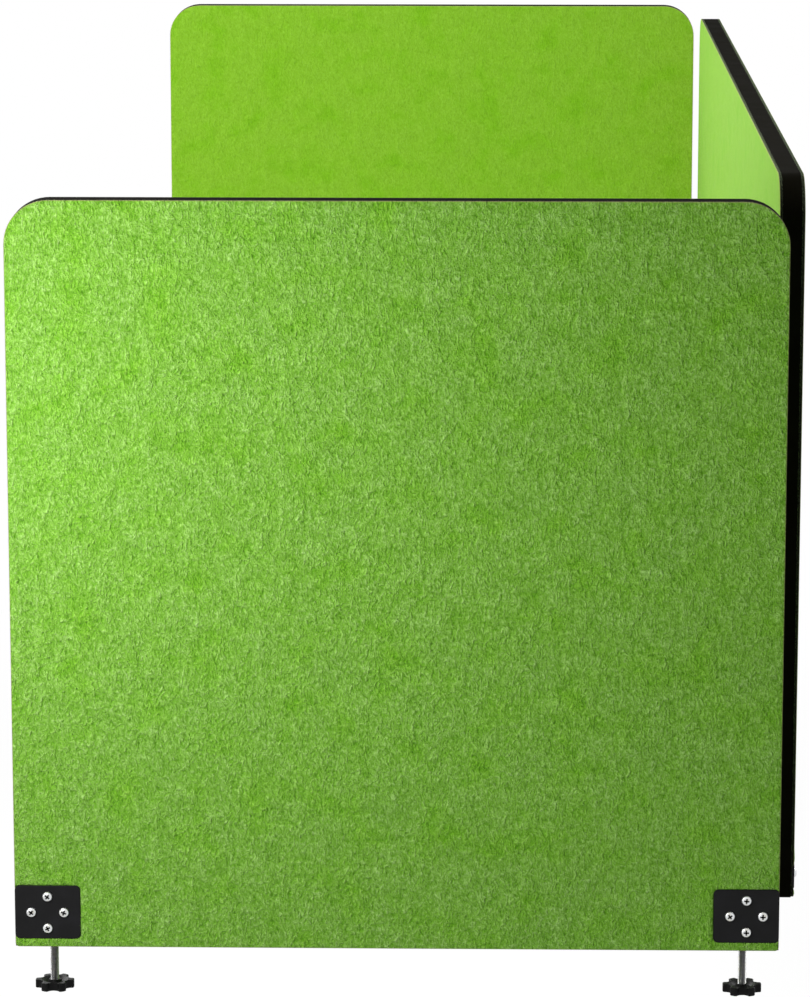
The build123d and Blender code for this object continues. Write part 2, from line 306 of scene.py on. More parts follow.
@dataclass(frozen=True)
class NeedleFelt(Finish):
    """Needle-punched polyester felt, 3 mm: matted fibres that scatter light, with no weave.

    The needles leave a soft pebble of a few mm, and the web is uneven in clouds of some 25 mm.
    The fibres are 0.03 mm thick, too fine for the render, so they are drawn as strands of the
    width and length below, in crossing lays. The cut edge is sealed with the dark glue of the
    banding, so that the board looks dark over its whole thickness, with a brownish hair line.
    """

    # Paler and bluer than the felt's own green, with a wide spread between dark and pale: partly
    # painted sheen and relief shading from light raking the outer faces.
    shades: tuple[str, str, str] = ("56950f", "82bb43", "b4e484")
    strand_width_mm: float = 0.45
    strand_length_mm: float = 4.5
    strand_blend: float = 0.08
    strand_sway_mm: tuple[float, float] = (3.0, 1.2)
    lays: tuple[float, ...] = (-0.5, 0.35, 1.4)
    pebble: Grain = Grain(3.7, detail=3.0, rough=0.78, span=(0.25, 0.75))
    pebble_stretch: float = 0.55
    pebble_sway_mm: tuple[float, float] = (6.0, 1.5)
    fluff: Grain = Grain(1.85, detail=2.0, rough=0.75, span=(0.28, 0.72))
    fluff_shift: tuple[float, float, float] = (3.7, 1.9, 0.0)
    clump: Grain = Grain(11.0, detail=2.0, rough=0.6, span=(0.25, 0.75))
    cloud: Grain = Grain(24.0, 1.6, detail=3.0, rough=0.6)
    hue: Grain = Grain(40.8, detail=4.0, rough=0.6, span=(0.32, 0.68))
    relief_mm: float = 3.2
    clump_relief: float = 0.8
    strand_relief_mm: float = 0.25
    fluff_share: float = 0.5
    strand_share: float = 0.25
    clump_share: float = 0.15
    warmths: tuple[str, str, str] = ("ecfab0", "fffff6", "fefcff")
    hair_line: str = "9c9c62"
    sealed_edge: str = "100f0a"

    def warped(self, place: Output, wave_mm: float, sway_mm: float) -> Output:
        """The coordinate, swayed so that straight strands curl."""
        inputs = {0: noise(place, wave_mm, 1.0).other("Color"), 1: (0.5, 0.5, 0.5)}
        centred = add_node(place.tree, "ShaderNodeVectorMath", inputs, operation="SUBTRACT")
        inputs = {0: centred, "Scale": 2 * sway_mm * MM}
        shift = add_node(place.tree, "ShaderNodeVectorMath", inputs, operation="SCALE")
        return add_node(place.tree, "ShaderNodeVectorMath", {0: place, 1: shift})

    def strands(self, place: Output) -> Output:
        """Height of the uppermost strand of the crossing lays."""
        top = None
        squeeze = (1.0, self.strand_width_mm / self.strand_length_mm, 1.0)
        for lay in self.lays:
            inputs = {"Vector": place, "Rotation": (0.0, 0.0, lay)}
            turned = add_node(place.tree, "ShaderNodeMapping", inputs)
            inputs = {"Vector": turned, "Scale": squeeze, "Location": (lay, lay, 0.0)}
            laid = add_node(place.tree, "ShaderNodeMapping", inputs)
            layer = noise(laid, self.strand_width_mm, 1.0)
            top = layer if top is None else top.math("SMOOTH_MAX", layer, self.strand_blend)
        return spread(top, (0.45, 0.75))

    def draw(self, tree: bpy.types.NodeTree) -> dict[str, Any]:
        """Add pebble, strands and clouds to colour and relief."""
        cut = add_node(tree, "ShaderNodeUVMap", uv_map="cut")
        curled = self.warped(cut, *self.pebble_sway_mm)
        tall = {"Vector": curled, "Scale": (1.0, self.pebble_stretch, 1.0)}
        upright = add_node(tree, "ShaderNodeMapping", tall)
        elsewhere = {"Vector": upright, "Location": self.fluff_shift}
        apart = add_node(tree, "ShaderNodeMapping", elsewhere)
        pebble, fluff = self.pebble.height(upright), self.fluff.height(apart)
        clumps = self.clump.height(upright)
        strands = self.strands(self.warped(cut, *self.strand_sway_mm))

        # Mix has its share at 0, its two numbers at 2 and 3, and its two colours at 6 and 7.
        matted = add_node(tree, "ShaderNodeMix", {0: self.fluff_share, 2: pebble, 3: fluff})
        mixed = matted
        for share, layer in ((self.strand_share, strands), (self.clump_share, clumps)):
            mixed = add_node(tree, "ShaderNodeMix", {0: share, 2: mixed, 3: layer})
        light = ramp(mixed, tuple(zip((0.24, 0.5, 0.76), self.shades)))
        warmth = ramp(self.hue.height(cut), tuple(zip((0.0, 0.5, 1.0), self.warmths)))
        settings = {"out": 2, "data_type": "RGBA"}
        tinted = {0: 1.0, 6: light, 7: warmth}
        colour = add_node(tree, "ShaderNodeMix", tinted, blend_type="MULTIPLY", **settings)
        rim = add_node(tree, "ShaderNodeAttribute", out="Fac", attribute_name="cut_edge")
        for span, shade in (((0.1, 0.7), self.hair_line), ((0.8, 0.95), self.sealed_edge)):
            edged = {0: spread(rim, span), 6: colour, 7: linear(shade)}
            colour = add_node(tree, "ShaderNodeMix", edged, **settings)

        soft = self.cloud.relief(self.cloud.height(cut))
        soft = bump(clumps, self.clump_relief * self.relief_mm, 1.0, soft)
        pebbled = bump(matted, self.relief_mm, 1.0, soft)
        return {
            "Base Color": colour,
            "Normal": bump(strands, self.strand_relief_mm, 0.8, pebbled),
            "Roughness": 0.95,
            "Specular IOR Level": 0.1,
            "Sheen Weight": 0.3,
            "Sheen Roughness": 0.4,
            "Sheen Tint": linear("cdebae"),
        }


@dataclass(frozen=True)
class DarkSkin(Finish):
    """A dark, dull skin: faint patches of shade and gloss of some mm, over one or more grains."""

    shades: tuple[tuple[float, str], ...]
    patch_mm: float
    grains: tuple[Grain, ...]
    roughness: tuple[float, float]
    specular: float
    patch_detail: float = 3.0

    def draw(self, tree: bpy.types.NodeTree) -> dict[str, Any]:
        """Add the patches and the grains, the coarse one first."""
        place = own_place(tree)
        patches = noise(place, self.patch_mm, self.patch_detail)
        normal = None
        for grain in self.grains:
            normal = grain.relief(grain.height(place), normal)
        low, high = self.roughness
        return {
            "Base Color": ramp(patches, self.shades),
            "Normal": normal,
            "Roughness": spread(patches, low=low, high=high) if low < high else low,
            "Specular IOR Level": self.specular,
        }


POWDER = DarkSkin(  # flows out to a faint orange peel over its fine grains
    "satin_powder_coated_steel",
    ((0.3, "121213"), (0.5, "151516"), (0.7, "19191b")),
    patch_mm=18.0,
    grains=(Grain(1.2, 0.05, 0.35), Grain(0.3, 0.02, 0.35)),
    roughness=(0.44, 0.54),
    specular=0.12,
)
BANDING = DarkSkin(  # 2 mm thick, embossed with a pearl grain, almost black
    "embossed_abs_edge_banding",
    ((0.3, "090804"), (0.5, "0b0a06"), (0.75, "0f0e09")),
    patch_mm=30.0,
    grains=(Grain(0.7, 0.06, 0.5, pearls=True),),
    roughness=(0.68, 0.8),
    specular=0.005,
)
NYLON = DarkSkin(  # the mould's spark-eroded skin, with the flow patches of the moulding
    "moulded_glass_filled_nylon",
    ((0.3, "070707"), (0.5, "0b0b0b"), (0.7, "111111")),
    patch_mm=7.0,
    patch_detail=2.0,
    grains=(Grain(0.4, 0.04, 0.4, 2.0, 0.6),),
    roughness=(0.42, 0.54),
    specular=0.1,
)
RUBBER = DarkSkin(  # charcoal, chalky with bloom, faintly pitted
    "moulded_epdm_rubber",
    ((0.3, "1d1d1c"), (0.7, "2a2a28")),
    patch_mm=5.0,
    patch_detail=4.0,
    grains=(Grain(0.5, 0.08, 0.5, 2.0, 0.7),),
    roughness=(0.85, 0.85),
    specular=0.25,
)


@dataclass(frozen=True)
class ZincPlate(Finish):
    """Cold-formed steel, bright zinc plated and passivated: cool silver with a breath of colour.

    Recesses and thread roots, marked by the attribute "hollow", get painted shade: a dark colour
    mixed in by how deep they lie.
    """

    colour: str = "dcdee0"
    stain: str = "c9c7bc"
    # Dark colour of the painted shade in recesses and thread roots.
    hollow_shade: str = "17150f"
    gloss: float = 0.26
    patches: Grain = Grain(4.0, detail=3.0)
    tool_marks: Grain = Grain(0.35, 0.01, 0.4, detail=2.0)

    def draw(self, tree: bpy.types.NodeTree) -> dict[str, Any]:
        """Add the passivate's patches, the painted shade of the hollows and the fine tool marks of
        forming.
        """
        place = own_place(tree)
        patches, marks = self.patches.height(place), self.tool_marks.height(place)
        shades = ramp(patches, ((0.3, self.stain), (0.55, self.colour), (0.75, self.colour)))
        hollow = add_node(tree, "ShaderNodeAttribute", out="Fac", attribute_name="hollow")
        # Painted shade: the colour darkens towards the shade colour by how deep in a hollow each
        # point lies.
        shaded_hollows = {0: hollow, 6: shades, 7: linear(self.hollow_shade)}
        return {
            "Base Color": add_node(tree, "ShaderNodeMix", shaded_hollows, out=2, data_type="RGBA"),
            "Normal": self.tool_marks.relief(marks),
            "Roughness": spread(marks, low=self.gloss - 0.05, high=self.gloss + 0.1),
            "Metallic": 1.0,
        }


@dataclass(frozen=True)
class Chipboard(Finish):
    """Raw chipboard core: pressed spruce flakes of 2 to 4 mm in resin, seen only in its holes."""

    flake_mm: float = 3.0

    def draw(self, tree: bpy.types.NodeTree) -> dict[str, Any]:
        """Add flakes, each with its own shade."""
        inputs = {"Vector": own_place(tree), "Scale": 1 / (self.flake_mm * MM)}
        flakes = add_node(tree, "ShaderNodeTexVoronoi", inputs)
        grey = add_node(tree, "ShaderNodeSeparateColor", {0: flakes.other("Color")})
        shades = ramp(grey, ((0.0, "8d6f47"), (0.5, "b59668"), (1.0, "d2b98c")))
        return {"Base Color": shades, "Normal": bump(flakes, 0.2, 0.5), "Roughness": 0.8}


class Finishes:
    """Every finish of the set, made once."""

    def __init__(self) -> None:
        """Make the materials."""
        self.felt = NeedleFelt("needle_punched_polyester_felt").material()
        # The inner faces get a copy of the same felt: its deeper, narrower shades are painted
        # light, for the green bounce between the inner faces and their flat frontal light.
        inner_lit_shades = ("73a61f", "80b42b", "8dc13a")
        self.inner_felt = NeedleFelt("polyester_felt_inner_lit_copy", inner_lit_shades, relief_mm=1.2).material()
        self.zinc = ZincPlate("bright_zinc_plated_steel").material()
        # A darker copy of the zinc for the spindles: its colour and stain are painted shade for the
        # dark surroundings that a bright rod reflects.
        # The fourth colour, 0c0b08, is the painted shade of the thread roots.
        shaded_zinc = ZincPlate("zinc_plated_thread_painted_shade", "9a9b9d", "9c9a90", "0c0b08", 0.3)
        self.thread = shaded_zinc.material()
        powder, rubber = POWDER.material(), RUBBER.material()
        self.by_part = {
            "core_board": Chipboard("raw_spruce_chipboard").material(),
            "felt": self.felt,
            "edge_band": BANDING.material(),
            "clamp_screws": self.zinc,
            "weld_nuts": self.zinc,
            "jaw_liners": rubber,
            "clamp_plate": powder,
            "clamp_bracket": powder,
            "spindle": self.thread,
            "star_knob": NYLON.material(),
            "swivel_disc": self.zinc,
            "rubber_pad": rubber,
        }

    def dress(self, nodes: dict[str, bpy.types.Object]) -> None:
        """Give every CAD node its finish, by the last words of its name.

        Args:
            nodes: CAD node names and their objects.
        """
        for name, node in nodes.items():
            finish = next(made for part, made in self.by_part.items() if name.endswith(part))
            if not node.material_slots:
                node.data.materials.append(finish)
            for slot in node.material_slots:
                slot.material = finish
        log.info("%d nodes dressed", len(nodes))


def rounded_loop(turns: Iterable[Turn], step: float) -> np.ndarray:
    """A closed loop of quarter turns with straight runs between them.

    Args:
        turns: Centre, radius, first angle and number of parts of each turn.
        step: Rough distance between the points on a straight run.

    Returns:
        Its points, counter-clockwise.
    """
    loop: list[tuple[float, float]] = []
    for x, y, radius, start, parts in turns:
        for i in range(parts + 1):
            angle = start + math.pi / 2 * i / parts
            loop.append((x + radius * math.cos(angle), y + radius * math.sin(angle)))
    points: list[tuple[float, float]] = []
    for (x0, y0), (x1, y1) in zip(loop, [*loop[1:], loop[0]]):
        parts = max(1, round(math.hypot(x1 - x0, y1 - y0) / step))
        points += [(x0 + (x1 - x0) * i / parts, y0 + (y1 - y0) * i / parts) for i in range(parts)]
    return np.array(points)


def new_piece(name: str, mesh: bpy.types.Mesh) -> bpy.types.Object:
    """Link a new object with this mesh at the origin."""
    piece = bpy.data.objects.new(name, mesh)
    bpy.context.scene.collection.objects.link(piece)
    return piece


def declare(piece: bpy.types.Object, node: str, body: str) -> None:
    """Tell the frame what a made piece is.

    Args:
        piece: The piece.
        node: The CAD node that it takes the place of.
        body: The body that it rides on.
    """
    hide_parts(node)
    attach(piece, body)
    log.info("%s: %d faces", piece.name, len(piece.data.polygons))


@dataclass(frozen=True)
class Pocket:
    """Where a plate or a bracket's web is pressed into a felt: a rounded rectangle, in metres."""

    across: float
    above: float
    half_width: float
    half_height: float
    radius: float

    @property
    def open_below(self) -> bool:
        """Whether the pocket runs out at the sheet's bottom."""
        return self.above < self.half_height

    def distance(self, points: np.ndarray) -> np.ndarray:
        """Signed distance of points from the pocket's outline, below 0 inside."""
        straight = (self.half_width - self.radius, self.half_height - self.radius)
        away = np.abs(points - (self.across, self.above)) - straight
        outside = np.linalg.norm(np.maximum(away, 0), axis=1)
        return outside + np.minimum(away.max(axis=1), 0) - self.radius

    def ring(self, offset: float, step: float) -> np.ndarray:
        """Points of the outline, offset outwards.

        Args:
            offset: Distance outside the outline.
            step: Distance between points on the straight runs.

        Returns:
            A closed loop of points, counter-clockwise.
        """
        radius = self.radius + offset
        parts = max(4, int(radius * math.pi / 2 / step) + 1)
        wide, tall = self.half_width - self.radius, self.half_height - self.radius
        x, y = self.across, self.above
        turns = [
            (x + side * wide, y + rise * tall, radius, math.pi / 2 * quarter, parts)
            for quarter, (side, rise) in enumerate(((1, 1), (-1, 1), (-1, -1), (1, -1)))
        ]
        return rounded_loop(turns, step)


def rim_loop(faces: np.ndarray) -> list[int]:
    """Numbers of the points along the rim of counter-clockwise triangles, in order."""
    sides = np.concatenate([faces[:, [0, 1]], faces[:, [1, 2]], faces[:, [2, 0]]])
    known = {tuple(side) for side in sides.tolist()}
    follow = {a: b for a, b in known if (b, a) not in known}
    loop = [next(iter(follow))]
    while len(loop) < len(follow):
        loop.append(follow[loop[-1]])
    return loop


@dataclass(frozen=True)
class Chain:
    """Points of a sheet's face, in order, and whether edges hold them together."""

    points: np.ndarray
    held: bool = True
    closed: bool = True

    def edges(self, first: int) -> list[tuple[int, int]]:
        """The edges of the chain, whose first point has this number."""
        if not self.held:
            return []
        last = first + len(self.points) - 1
        return [(i, i + 1) for i in range(first, last)] + ([(last, first)] if self.closed else [])


@dataclass(frozen=True)
class FeltSheet:
    """One felt, glued flat to its board, softly cut at the rim and drawn in round its fixings.

    Lengths are in metres. The sheet lies in the plane of its face: x along, y up, and height
    out of the face.
    """

    node: str
    outward: Vector
    pockets: tuple[Pocket, ...]
    seed: int
    thickness: float = 3 * MM
    top_radius: float = 40 * MM
    bottom_radius: float = 3.5 * MM
    top_parts: int = 14
    bottom_parts: int = 6
    rim_radius: float = 0.9 * MM
    rim_insets: tuple[float, ...] = (0.12 * MM, 0.4 * MM, 0.9 * MM)
    pitch: float = 5 * MM
    scatter: float = 0.6 * MM
    rim_margin: float = 2.5 * MM
    pocket_margin: float = 13 * MM
    pocket_depth: float = 2.05 * MM
    wall_foot: float = 0.05 * MM
    wall_top: float = 0.15 * MM
    wall_margin: float = 0.3 * MM
    notch_margin: float = 0.6 * MM
    ring_offsets: tuple[float, ...] = tuple(mm * MM for mm in (0.5, 1.1, 2, 3.2, 5, 7.5, 11))
    ring_margin: float = 1.4 * MM
    fine_reach: float = 2.5 * MM
    fine_step: float = 1.2 * MM
    coarse_step: float = 2.5 * MM
    drawn_in: float = 0.9 * MM
    drawn_fall: float = 3.2
    swelling: float = 0.55 * MM
    swelling_reach: float = 4.5 * MM
    unevenness: float = 0.22 * MM
    waves: int = 9
    wave_span: tuple[float, float] = (60 * MM, 240 * MM)
    calm_rim: float = 20 * MM

    @cached_property
    def along(self) -> Vector:
        """Direction along the screen, so that along, up and outward are right-handed."""
        return UP.cross(self.outward)

    @cached_property
    def extent(self) -> tuple[Vector, float, float]:
        """Origin at the lower left corner of the face, length and height."""
        low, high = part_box(self.node)
        start, end = sorted((low.dot(self.along), high.dot(self.along)))
        face = max(low.dot(self.outward), high.dot(self.outward))
        return self.along * start + UP * low.z + self.outward * face, end - start, high.z - low.z

    def rim_distance(self, points: np.ndarray) -> np.ndarray:
        """How far inside the sheet's outline each point lies."""
        _, length, height = self.extent
        x, y = points[:, 0], points[:, 1]
        inside = np.minimum.reduce([x, length - x, y, height - y])
        top = (self.top_radius, height - self.top_radius, 1)
        bottom = (self.bottom_radius, self.bottom_radius, -1)
        for radius, centre_y, side in (top, bottom):
            centre_x = np.clip(x, radius, length - radius)
            corner = (np.abs(x - centre_x) > 0) & (side * (y - centre_y) > 0)
            inside = np.where(corner, radius - np.hypot(x - centre_x, y - centre_y), inside)
        return inside

    def outline(self, inset: float) -> np.ndarray:
        """Closed loop of the sheet's outline, inset, with its rounded corners."""
        _, length, height = self.extent
        low, top = self.bottom_radius, self.top_radius
        turns = (
            (low, low, low - inset, math.pi, self.bottom_parts),
            (length - low, low, low - inset, math.pi * 1.5, self.bottom_parts),
            (length - top, height - top, top - inset, 0.0, self.top_parts),
            (top, height - top, top - inset, math.pi / 2, self.top_parts),
        )
        return rounded_loop(turns, self.pitch)

    def notched_rim(self) -> np.ndarray:
        """The outline, with points where the walls of pockets run out at the bottom."""
        rim = self.outline(0.0)
        notches = [
            (pocket.across + side * (pocket.half_width + offset), 0.0)
            for pocket in self.pockets
            if pocket.open_below
            for offset in (self.wall_foot, self.wall_top)
            for side in (-1, 1)
        ]
        if not notches:
            return rim
        bottom = rim[rim[:, 1] < TINY]
        gaps = np.abs(bottom[:, :1] - np.array(notches)[:, 0])
        ends = (bottom[:, 0] < TINY) | (bottom[:, 0] > self.extent[1] - TINY)
        kept = bottom[(gaps.min(axis=1) > self.notch_margin) | ends]
        bottom = np.vstack([kept, notches])
        return np.vstack([bottom[np.argsort(bottom[:, 0])], rim[rim[:, 1] > TINY]])

    def pocket_ring(self, pocket: Pocket, offset: float) -> Chain:
        """The part of a ring round a pocket that lies on the sheet.

        Args:
            pocket: The pocket.
            offset: Distance of the ring outside it.

        Returns:
            The ring. Only those of the pocket's wall are held by edges.
        """
        ring = pocket.ring(offset, self.fine_step if offset < self.fine_reach else self.coarse_step)
        wall = offset <= self.wall_top
        keep = self.rim_distance(ring) > (self.wall_margin if wall else self.ring_margin)
        if not keep.all():
            first = int(np.argmax(keep & ~np.roll(keep, 1)))
            ring = np.roll(ring, -first, axis=0)[np.roll(keep, -first)]
            if wall and pocket.open_below:
                ring = np.vstack([(ring[0][0], 0.0), ring, (ring[-1][0], 0.0)])
        return Chain(ring, held=wall, closed=bool(keep.all()))

    def field(self) -> Chain:
        """Loose points at about the pitch, a little scattered, clear of rim and pockets."""
        _, length, height = self.extent
        draw = np.random.default_rng(self.seed + 1)
        rows = []
        for i, y in enumerate(np.arange(self.pitch, height, self.pitch * math.sqrt(3) / 2)):
            xs = np.arange(self.pitch * (0.5 + (i % 2) / 2), length, self.pitch)
            rows.append(np.column_stack([xs, np.full(len(xs), y)]))
        points = np.vstack(rows)
        points = points + draw.uniform(-self.scatter, self.scatter, points.shape)
        keep = self.rim_distance(points) > self.rim_margin
        for pocket in self.pockets:
            keep &= pocket.distance(points) > self.pocket_margin
        return Chain(points[keep], held=False)

    def plan(self) -> tuple[np.ndarray, np.ndarray]:
        """Divide the face into triangles.

        Returns:
            Points of the face, and its triangles, counter-clockwise.
        """
        # Rim first, then pockets, then the field: the numbers of the points follow this order.
        chains = [Chain(self.notched_rim())]
        chains += [Chain(self.outline(inset)) for inset in self.rim_insets]
        for pocket in self.pockets:
            for offset in (self.wall_foot, self.wall_top, *self.ring_offsets):
                chains.append(self.pocket_ring(pocket, offset))
        chains.append(self.field())
        points = [Vector(p) for chain in chains for p in chain.points]
        edges, first = [], 0
        for chain in chains:
            edges += chain.edges(first)
            first += len(chain.points)
        made, _, found, *_ = delaunay_2d_cdt(points, edges, [], 0, MERGE_DISTANCE, False)
        flat = np.array([tuple(p) for p in made])
        faces = np.array([f for f in found if len(f) == 3])
        a, b, c = (flat[faces[:, corner]] for corner in range(3))
        spin = np.cross(b - a, c - a)
        faces[spin < 0] = faces[spin < 0][:, ::-1]
        return flat, faces

    def relief(self, points: np.ndarray) -> np.ndarray:
        """Height of the felt's face over its plane at each point."""
        draw = np.random.default_rng(self.seed)
        out = np.zeros(len(points))
        for wave in draw.uniform(*self.wave_span, self.waves):
            heading, phase = draw.uniform(0, math.tau, 2)
            across = points[:, 0] * math.cos(heading) + points[:, 1] * math.sin(heading)
            out += self.unevenness / 3 * np.sin(math.tau * across / wave + phase)
        rim, radius = self.rim_distance(points), self.rim_radius
        out *= np.clip(rim / self.calm_rim, 0, 1)
        from_centre = radius - np.clip(rim, 0, radius)
        out -= radius - np.sqrt(np.maximum(radius**2 - from_centre**2, 0))
        for pocket in self.pockets:
            gap = pocket.distance(points)
            near = np.maximum(gap, 0) / self.swelling_reach
            swell = self.swelling * near * np.exp(1 - near)
            swell -= self.drawn_in * np.exp(-self.drawn_fall * near)
            out += np.where(rim > radius, swell, np.minimum(swell, 0))
            out = np.where(gap < (self.wall_foot + self.wall_top) / 2, -self.pocket_depth, out)
        return out

    def mesh(self) -> bpy.types.Mesh:
        """Build the closed sheet: the face, its cut rim and its back.

        Returns:
            The mesh in the row frame, with its flat cut as UV map in metres.
        """
        flat, faces = self.plan()
        loop, count = rim_loop(faces), len(flat)
        back = np.column_stack([flat[loop], np.full(len(loop), -self.thickness)])
        places = np.vstack([np.column_stack([flat, self.relief(flat)]), back])
        polygons = faces.tolist()
        for i, corner in enumerate(loop):
            after = (i + 1) % len(loop)
            polygons.append([loop[after], corner, count + i, count + after])
        polygons.append([count + i for i in reversed(range(len(loop)))])
        basis = np.array([self.along, UP, self.outward])
        mesh = bpy.data.meshes.new(self.node + "_sheet")
        mesh.from_pydata((places @ basis + np.array(self.extent[0])).tolist(), [], polygons)
        mesh.polygons.foreach_set("use_smooth", [True] * (len(polygons) - 1) + [False])
        corners = np.zeros(len(mesh.loops), dtype=np.int32)
        mesh.loops.foreach_get("vertex_index", corners)
        unfolded = places[:, :2] + np.minimum(places[:, 2:], 0)
        mesh.uv_layers.new(name="cut").data.foreach_set("uv", unfolded[corners].ravel())
        strength = np.clip(1 - self.rim_distance(places[:, :2]) / self.rim_radius, 0, 1)
        edge = mesh.attributes.new("cut_edge", "FLOAT", "POINT")
        edge.data.foreach_set("value", strength.astype(np.float32))
        mesh.update()
        return mesh


@dataclass(frozen=True)
class ScreenBuild:
    """A screen of the set: which way it faces and the clamps that it has."""

    name: str
    outward: Vector
    clamps: tuple[str, ...]
    screws_a_clamp: int
    plate_radius: float = 4.5 * MM
    pocket_gap: float = 0.1 * MM
    web_width: float = 50 * MM
    web_height: float = 58 * MM
    web_radius: float = 0.6 * MM

    def pockets(self, outer: bool) -> tuple[Pocket, ...]:
        """The places where this screen's plates or webs are pressed in, on one face.

        Args:
            outer: True for the outer face, which carries the plates.

        Returns:
            One pocket for each clamp, in the face's own plane.
        """
        facing = self.outward if outer else -self.outward
        along = UP.cross(facing)
        low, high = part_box(f"{self.name}_{'outer' if outer else 'inner'}_felt")
        start = min(low.dot(along), high.dot(along))
        gap, found = self.pocket_gap, []
        for clamp in self.clamps:
            node = f"{clamp}_clamp_plate" if outer else f"{clamp}_clamp_bracket"
            foot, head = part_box(node)
            across, above = (foot + head).dot(along) / 2 - start, foot.z - low.z
            half, half_height, radius = self.web_width / 2, self.web_height, self.web_radius
            if outer:
                half, half_height = abs((head - foot).dot(along)) / 2, (head.z - foot.z) / 2
                above, radius = (head.z + foot.z) / 2 - low.z, self.plate_radius
            found.append(Pocket(across, above, half + gap, half_height + gap, radius))
        return tuple(found)

    def felts(self, seed: int) -> list[FeltSheet]:
        """The screen's two felts."""
        return [
            FeltSheet(f"{self.name}_outer_felt", self.outward, self.pockets(True), seed),
            FeltSheet(f"{self.name}_inner_felt", -self.outward, self.pockets(False), seed + 2),
        ]


class Repeater(ABC):
    """A Geometry Nodes tree that makes repeated hardware, turned into one plain mesh."""

    title: str
    sizes: dict[str, float]
    choices: dict[str, str] = {}
    hard_fold = math.radians(35)

    def __init__(self, material: bpy.types.Material) -> None:
        """Draw the tree.

        Args:
            material: Finish of the hardware.
        """
        self.tree = bpy.data.node_groups.new(self.title, "GeometryNodeTree")
        self.ids: dict[str, str] = {}
        kinds = {"Geometry": "Geometry", **dict.fromkeys(self.sizes, "Float"), **self.choices}
        for name, kind in kinds.items():
            self.ids[name] = self.interface_socket(name, "INPUT", kind)
        self.interface_socket("Geometry", "OUTPUT", "Geometry")
        self.given = self.node("NodeGroupInput")
        self.finish(self.on_seats(), material)

    @abstractmethod
    def on_seats(self) -> Output:
        """The hardware, instanced on every seat."""

    def interface_socket(self, name: str, way: str, kind: str) -> str:
        """Add a socket to the tree's interface and give its identifier."""
        kind = f"NodeSocket{kind}"
        return self.tree.interface.new_socket(name, in_out=way, socket_type=kind).identifier

    def node(self, kind: str, inputs: dict | None = None, **settings: Any) -> Output:
        """Add a node to the tree."""
        return add_node(self.tree, kind, inputs, **settings)

    def take(self, *names: str) -> list[Output]:
        """The tree's inputs of these names."""
        return [self.given.other(name) for name in names]

    def here(self) -> list[Output]:
        """The three coordinates of the point at hand."""
        parts = self.node("ShaderNodeSeparateXYZ", {0: self.node("GeometryNodeInputPosition")})
        return [parts.other(axis) for axis in range(3)]

    def vector(self, x: Any = 0.0, y: Any = 0.0, z: Any = 0.0) -> Output:
        """A vector of numbers or outputs."""
        return self.node("ShaderNodeCombineXYZ", {0: x, 1: y, 2: z})

    def moved(self, geometry: Output, *places: Output) -> Output:
        """The geometry with each point at the coordinates that are given for it."""
        inputs = {"Geometry": geometry, "Position": self.vector(*places)}
        return self.node("GeometryNodeSetPosition", inputs)

    def lifted(self, geometry: Output, height: Output, turn: float = 0.0) -> Output:
        """The geometry, turned about its axis and then lifted."""
        lift = {"Translation": self.vector(z=height), "Rotation": (0.0, 0.0, turn)}
        return self.node("GeometryNodeTransform", {"Geometry": geometry, **lift})

    def finish(self, geometry: Output, material: bpy.types.Material) -> None:
        """End the tree in real mesh with its material, smooth but for hard edges."""
        real = self.node("GeometryNodeRealizeInstances", {0: geometry})
        faired = self.node("GeometryNodeSetShadeSmooth", {0: real})
        folded = self.node("GeometryNodeInputMeshEdgeAngle") > self.hard_fold
        hard = {0: faired, 1: folded, 2: False}
        creased = self.node("GeometryNodeSetShadeSmooth", hard, domain="EDGE")
        dressed = self.node("GeometryNodeSetMaterial", {"Geometry": creased, "Material": material})
        self.node("NodeGroupOutput", {0: dressed})

    def mark_hollow(self, geometry: Output, share: Output) -> Output:
        """Store how deep in a hollow each point lies, from 0 to 1, for the finish to paint shade
        by.
        """
        inputs = {0: geometry, 2: "hollow", 3: share}
        return self.node("GeometryNodeStoreNamedAttribute", inputs, data_type="FLOAT")

    def make(self, name: str, seats: Sequence[Vector], **choices: Any) -> bpy.types.Object:
        """Run the tree on seats.

        Args:
            name: Name of the piece.
            seats: Where the hardware sits.
            choices: Values of the inputs that aren't sizes.

        Returns:
            An object at the origin with a plain mesh and no modifier.
        """
        points = bpy.data.meshes.new(name)
        points.from_pydata([tuple(seat) for seat in seats], [], [])
        piece = new_piece(name, points)
        modifier = piece.modifiers.new("hardware", "NODES")
        modifier.node_group = self.tree
        for key, value in {**self.sizes, **choices}.items():
            modifier[self.ids[key]] = value
        graph = bpy.context.evaluated_depsgraph_get()
        plain = bpy.data.meshes.new_from_object(piece.evaluated_get(graph), depsgraph=graph)
        piece.modifiers.clear()
        piece.data = plain
        plain.name = name
        return piece


